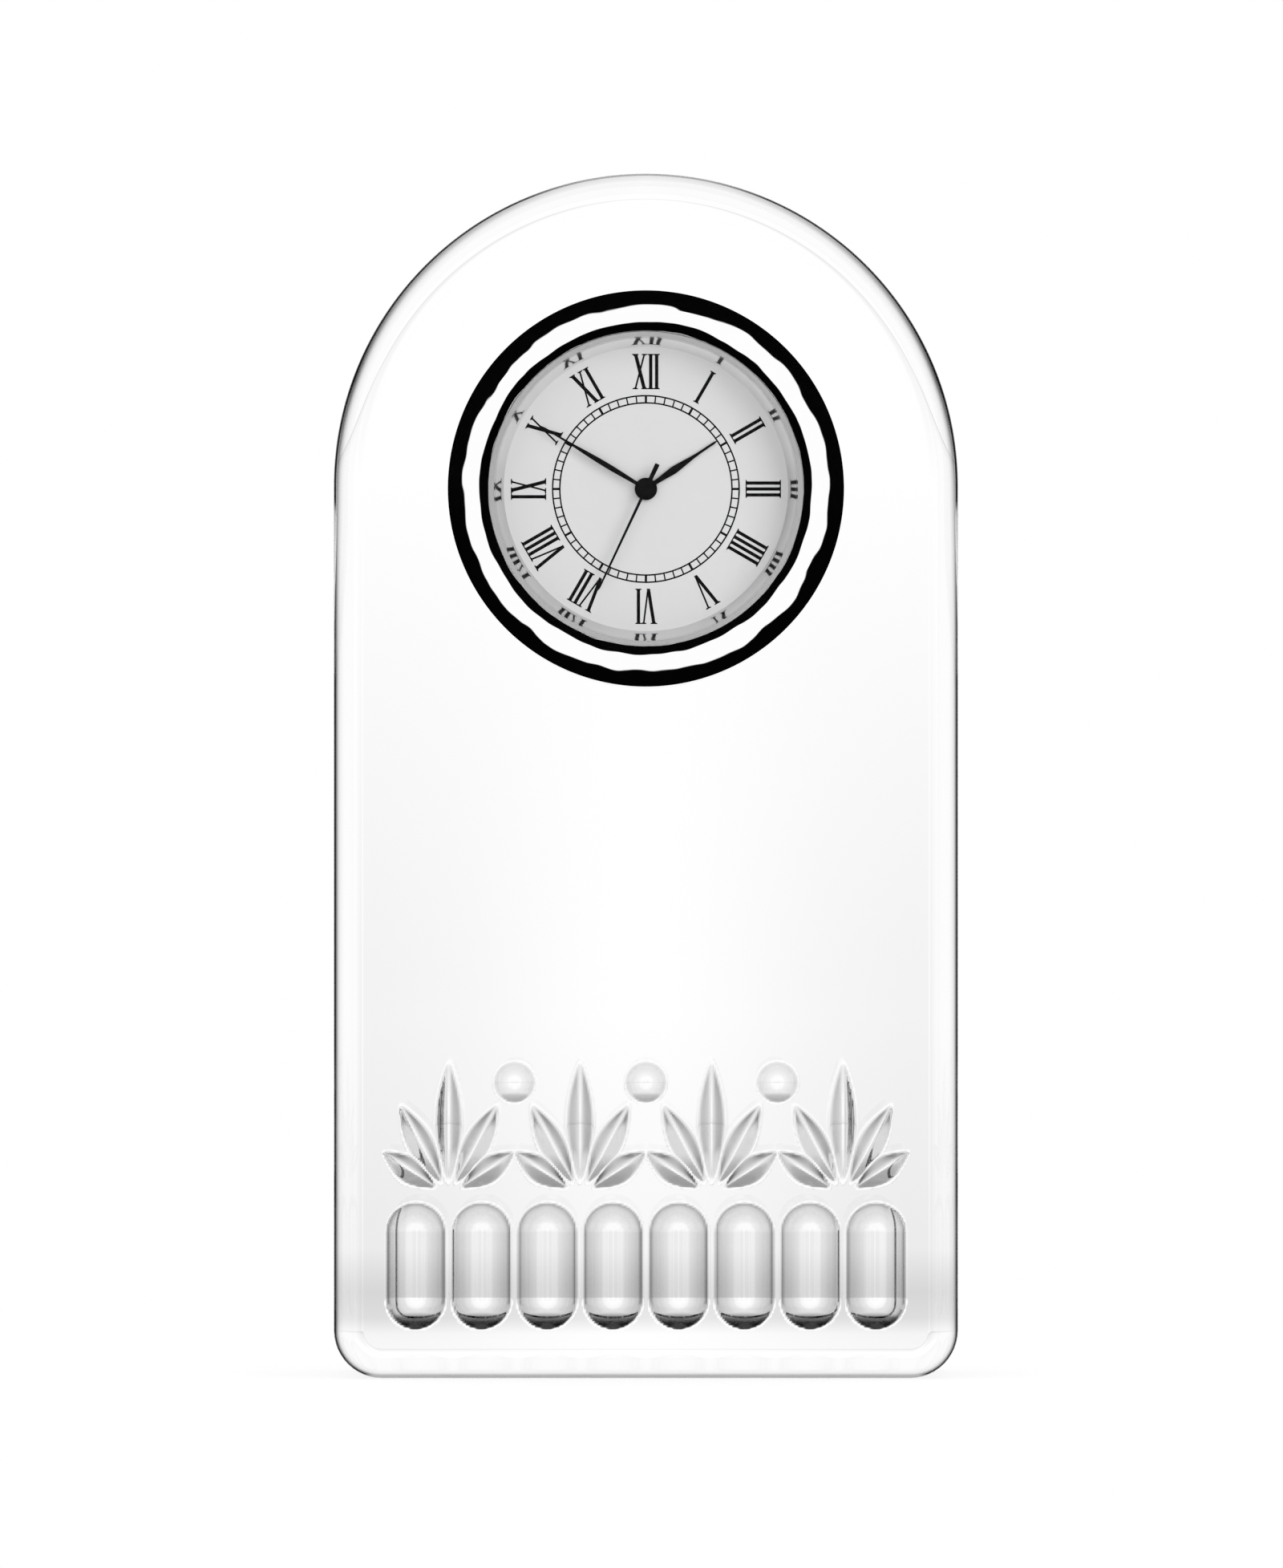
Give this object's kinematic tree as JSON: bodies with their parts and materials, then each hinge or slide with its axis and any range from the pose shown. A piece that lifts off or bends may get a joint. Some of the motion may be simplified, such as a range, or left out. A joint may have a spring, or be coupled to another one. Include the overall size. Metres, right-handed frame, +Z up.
{
  "type": "crystal shelf clock",
  "caption": "Free-standing arched block of clear cut crystal holding a round quartz insert clock with a polished bezel, Roman numerals and black hands.",
  "frame": {"origin": "centre of the crystal block's flat base", "axes": "+Z up from the base, -Y out of the dial towards the reader, +X to the reader's right"},
  "size_m": [0.0922, 0.0414, 0.178],
  "materials": {
    "crystal_glass": "polished clear cut crystal",
    "polished_bezel": "mirror polished",
    "lens_glass": "polished flat mineral glass with a bevelled rim",
    "seal_rubber": "matt",
    "reflector_metal": "polished cone, slightly soft",
    "dial_silver": "satin silver-white with black printing",
    "hand_black": "semi-gloss black",
    "case_steel": "satin",
    "band_rubber": "matt",
    "cover_plastic": "fine texture",
    "screw_steel": "bright",
    "battery_steel": "nickel plated, satin",
    "contact_spring": "bare spring metal",
    "holder_plastic": "moulded white",
    "plate_brass": "fine brushed",
    "wheel_brass": "cut and polished",
    "magnetic_steel": "annealed grey",
    "magnet": "ground grey",
    "copper_winding": "enamelled copper wire",
    "bobbin_plastic": "moulded black",
    "board_green": "solder mask",
    "chip_black": "epoxy",
    "quartz_steel": "drawn can"
  },
  "bodies": {
    "crystal": {"crystal_body": "crystal_glass"},
    "insert": {"bezel": "polished_bezel", "lens": "lens_glass", "lens_gasket": "seal_rubber", "reflector_ring": "reflector_metal", "dial": "dial_silver", "insert_case": "case_steel", "friction_band": "band_rubber", "case_back": "cover_plastic", "case_screws": "screw_steel", "battery": "battery_steel", "contact_positive": "contact_spring", "contact_negative": "contact_spring", "movement_holder": "holder_plastic", "main_plate": "plate_brass", "train_bridge": "plate_brass", "bridge_screws": "screw_steel", "stator": "magnetic_steel", "coil_core": "magnetic_steel", "coil_winding": "copper_winding", "coil_flanges": "bobbin_plastic", "circuit_board": "board_green", "circuit_chip": "chip_black", "quartz_can": "quartz_steel"},
    "hour": {"hour_hand": "hand_black", "hour_wheel": "wheel_brass"},
    "minute": {"minute_hand": "hand_black", "cannon_pinion": "magnetic_steel", "centre_wheel": "wheel_brass"},
    "seconds": {"seconds_hand": "hand_black", "seconds_wheel": "wheel_brass"},
    "third": {"third_wheel": "wheel_brass"},
    "fifth": {"fifth_wheel": "wheel_brass"},
    "motor_rotor": {"rotor": "magnet"},
    "motion": {"minute_wheel": "wheel_brass"},
    "setting": {"set_knob": "cover_plastic", "set_shaft": "screw_steel"},
    "hatch": {"battery_hatch": "cover_plastic"}
  },
  "joints": [
    {"name": "insert_slide", "type": "slide", "parent": "crystal", "child": "insert", "axis": [0, -1, 0], "range_m": [0, 0.045]},
    {"name": "minute_turn", "type": "hinge", "parent": "insert", "child": "minute", "pos_m": [0, -0.0176, 0.13135], "axis": [0, 1, 0], "continuous": true},
    {"name": "hour_turn", "type": "hinge", "parent": "insert", "child": "hour", "pos_m": [0, -0.017, 0.13135], "axis": [0, 1, 0], "continuous": true},
    {"name": "seconds_turn", "type": "hinge", "parent": "insert", "child": "seconds", "pos_m": [0, -0.0182, 0.13135], "axis": [0, 1, 0], "continuous": true},
    {"name": "third_turn", "type": "hinge", "parent": "insert", "child": "third", "pos_m": [-0.0053, -0.012, 0.13441], "axis": [0, 1, 0], "continuous": true},
    {"name": "fifth_turn", "type": "hinge", "parent": "insert", "child": "fifth", "pos_m": [0.00615, -0.0101, 0.13027], "axis": [0, 1, 0], "continuous": true},
    {"name": "rotor_turn", "type": "hinge", "parent": "insert", "child": "motor_rotor", "pos_m": [0.00687, -0.0119, 0.12613], "axis": [0, 1, 0], "continuous": true},
    {"name": "motion_turn", "type": "hinge", "parent": "insert", "child": "motion", "pos_m": [-0.00425, -0.015, 0.13021], "axis": [0, 1, 0], "continuous": true},
    {"name": "setting_turn", "type": "hinge", "parent": "insert", "child": "setting", "pos_m": [-0.0085, -0.0005, 0.12907], "axis": [0, 1, 0], "continuous": true},
    {"name": "hatch_turn", "type": "hinge", "parent": "insert", "child": "hatch", "pos_m": [0.0065, -0.0024, 0.13985], "axis": [0, 1, 0], "range_deg": [0, 35]}
  ],
  "couplings": [
    {"joint": "hour_turn", "follows": "minute_turn", "ratio": 0.083333},
    {"joint": "seconds_turn", "follows": "minute_turn", "ratio": 60},
    {"joint": "third_turn", "follows": "minute_turn", "ratio": -8},
    {"joint": "fifth_turn", "follows": "minute_turn", "ratio": -300},
    {"joint": "rotor_turn", "follows": "minute_turn", "ratio": 1800},
    {"joint": "motion_turn", "follows": "minute_turn", "ratio": -0.33333},
    {"joint": "setting_turn", "follows": "minute_turn", "ratio": 1}
  ]
}
